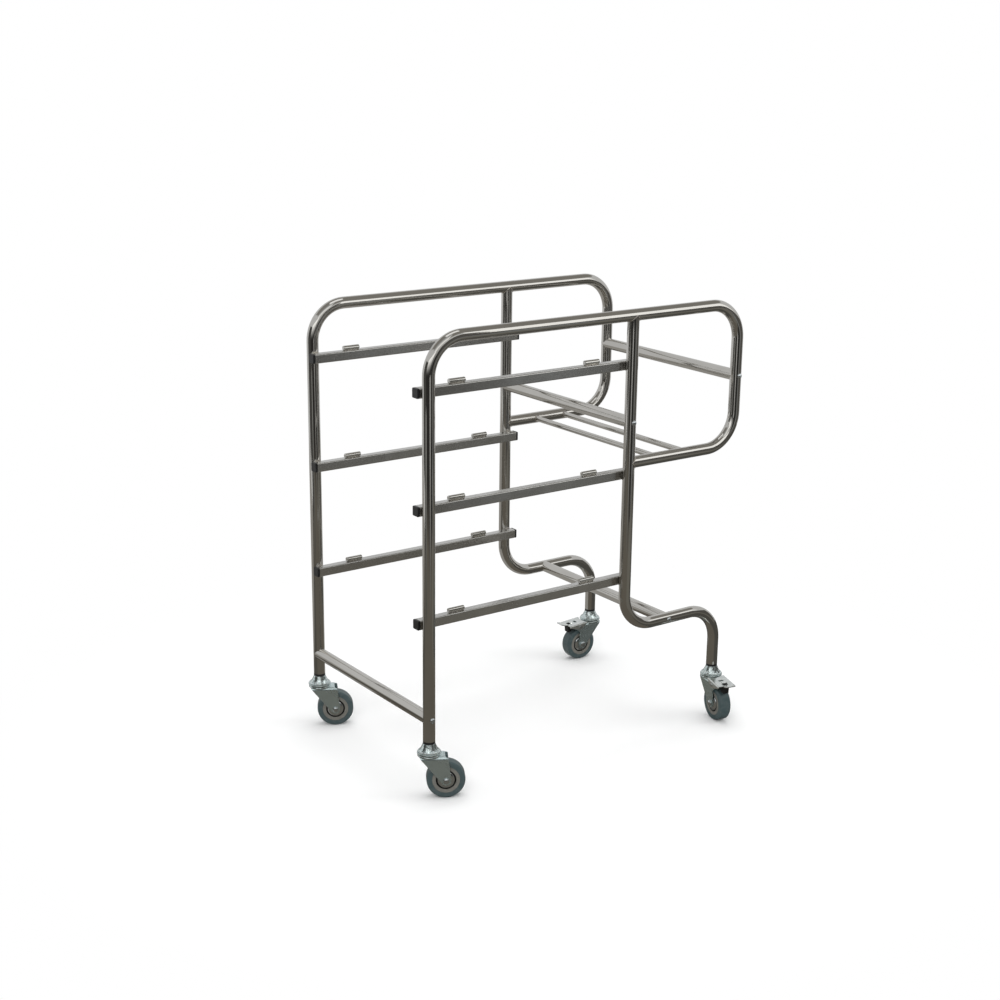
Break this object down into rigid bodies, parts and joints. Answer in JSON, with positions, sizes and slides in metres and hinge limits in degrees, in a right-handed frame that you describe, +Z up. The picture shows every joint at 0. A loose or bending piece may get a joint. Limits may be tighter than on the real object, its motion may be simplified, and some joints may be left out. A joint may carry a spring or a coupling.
{
  "type": "tray return trolley",
  "caption": "Stainless tube trolley on swivel casters, with tray runners between two bent side frames, a rear loop with push handle and shelf rods, and brakes on the rear casters.",
  "frame": {"origin": "on the floor, midway between the four casters' stems", "axes": "+Z up, +X from the tray opening to the push handle, +Y to the right of the person who pushes"},
  "size_m": [0.8405, 0.5669, 0.9617],
  "materials": {
    "stainless": "polished",
    "zinc": "zinc plated",
    "black_plastic": "moulded",
    "wheel_core": "moulded",
    "tyre": "matt",
    "brake_rubber": "matt"
  },
  "bodies": {
    "frame": {"left_side_tube": "stainless", "left_rear_upright": "stainless", "left_lower_runner": "stainless", "left_middle_runner": "stainless", "left_upper_runner": "stainless", "right_side_tube": "stainless", "right_rear_upright": "stainless", "right_lower_runner": "stainless", "right_middle_runner": "stainless", "right_upper_runner": "stainless", "front_cross_tube": "stainless", "upper_cross_tube": "stainless", "step_cross_tube": "stainless", "push_handle": "stainless", "front_shelf_rod": "stainless", "rear_shelf_rod": "stainless", "tray_stops": "stainless", "runner_end_caps": "black_plastic", "caster_sockets": "black_plastic", "cross_tube_bolts": "zinc", "cross_tube_plugs": "zinc", "front_left_head": "zinc", "front_right_head": "zinc", "rear_right_head": "zinc", "rear_left_head": "zinc"},
    "front_left_caster": {"front_left_fork": "zinc", "front_left_race_balls": "zinc", "front_left_axle": "zinc", "front_left_bush": "zinc", "front_left_thread_guards": "zinc"},
    "front_left_wheel": {"front_left_wheel_core": "wheel_core", "front_left_tyre": "tyre"},
    "front_right_caster": {"front_right_fork": "zinc", "front_right_race_balls": "zinc", "front_right_axle": "zinc", "front_right_bush": "zinc", "front_right_thread_guards": "zinc"},
    "front_right_wheel": {"front_right_wheel_core": "wheel_core", "front_right_tyre": "tyre"},
    "rear_right_brake": {"rear_right_brake_pedal": "zinc", "rear_right_brake_shoe": "brake_rubber"},
    "rear_right_caster": {"rear_right_fork": "zinc", "rear_right_race_balls": "zinc", "rear_right_axle": "zinc", "rear_right_bush": "zinc", "rear_right_thread_guards": "zinc", "rear_right_brake_pin": "zinc"},
    "rear_right_wheel": {"rear_right_wheel_core": "wheel_core", "rear_right_tyre": "tyre"},
    "rear_left_brake": {"rear_left_brake_pedal": "zinc", "rear_left_brake_shoe": "brake_rubber"},
    "rear_left_caster": {"rear_left_fork": "zinc", "rear_left_race_balls": "zinc", "rear_left_axle": "zinc", "rear_left_bush": "zinc", "rear_left_thread_guards": "zinc", "rear_left_brake_pin": "zinc"},
    "rear_left_wheel": {"rear_left_wheel_core": "wheel_core", "rear_left_tyre": "tyre"}
  },
  "joints": [
    {"name": "front_left_swivel", "type": "hinge", "parent": "frame", "child": "front_left_caster", "pos_m": [-0.386, -0.224, 0.094], "axis": [0, 0, 1], "continuous": true},
    {"name": "front_left_roll", "type": "hinge", "parent": "front_left_caster", "child": "front_left_wheel", "pos_m": [-0.35656, -0.241, 0.04], "axis": [0.5, 0.866, 0], "continuous": true},
    {"name": "front_right_swivel", "type": "hinge", "parent": "frame", "child": "front_right_caster", "pos_m": [-0.386, 0.224, 0.094], "axis": [0, 0, 1], "continuous": true},
    {"name": "front_right_roll", "type": "hinge", "parent": "front_right_caster", "child": "front_right_wheel", "pos_m": [-0.35626, 0.20752, 0.04], "axis": [0.4848, 0.8746, 0], "continuous": true},
    {"name": "rear_right_swivel", "type": "hinge", "parent": "frame", "child": "rear_right_caster", "pos_m": [0.386, 0.224, 0.094], "axis": [0, 0, 1], "continuous": true},
    {"name": "rear_right_roll", "type": "hinge", "parent": "rear_right_caster", "child": "rear_right_wheel", "pos_m": [0.35205, 0.22578, 0.04], "axis": [-0.0523, -0.9986, 0], "continuous": true},
    {"name": "rear_right_brake", "type": "hinge", "parent": "rear_right_caster", "child": "rear_right_brake", "pos_m": [0.34306, 0.22625, 0.0875], "axis": [-0.0523, -0.9986, 0], "range_deg": [0, 12]},
    {"name": "rear_left_swivel", "type": "hinge", "parent": "frame", "child": "rear_left_caster", "pos_m": [0.386, -0.224, 0.094], "axis": [0, 0, 1], "continuous": true},
    {"name": "rear_left_roll", "type": "hinge", "parent": "rear_left_caster", "child": "rear_left_wheel", "pos_m": [0.37835, -0.25713, 0.04], "axis": [0.9744, -0.225, 0], "continuous": true},
    {"name": "rear_left_brake", "type": "hinge", "parent": "rear_left_caster", "child": "rear_left_brake", "pos_m": [0.37633, -0.2659, 0.0875], "axis": [0.9744, -0.225, 0], "range_deg": [0, 12]}
  ]
}
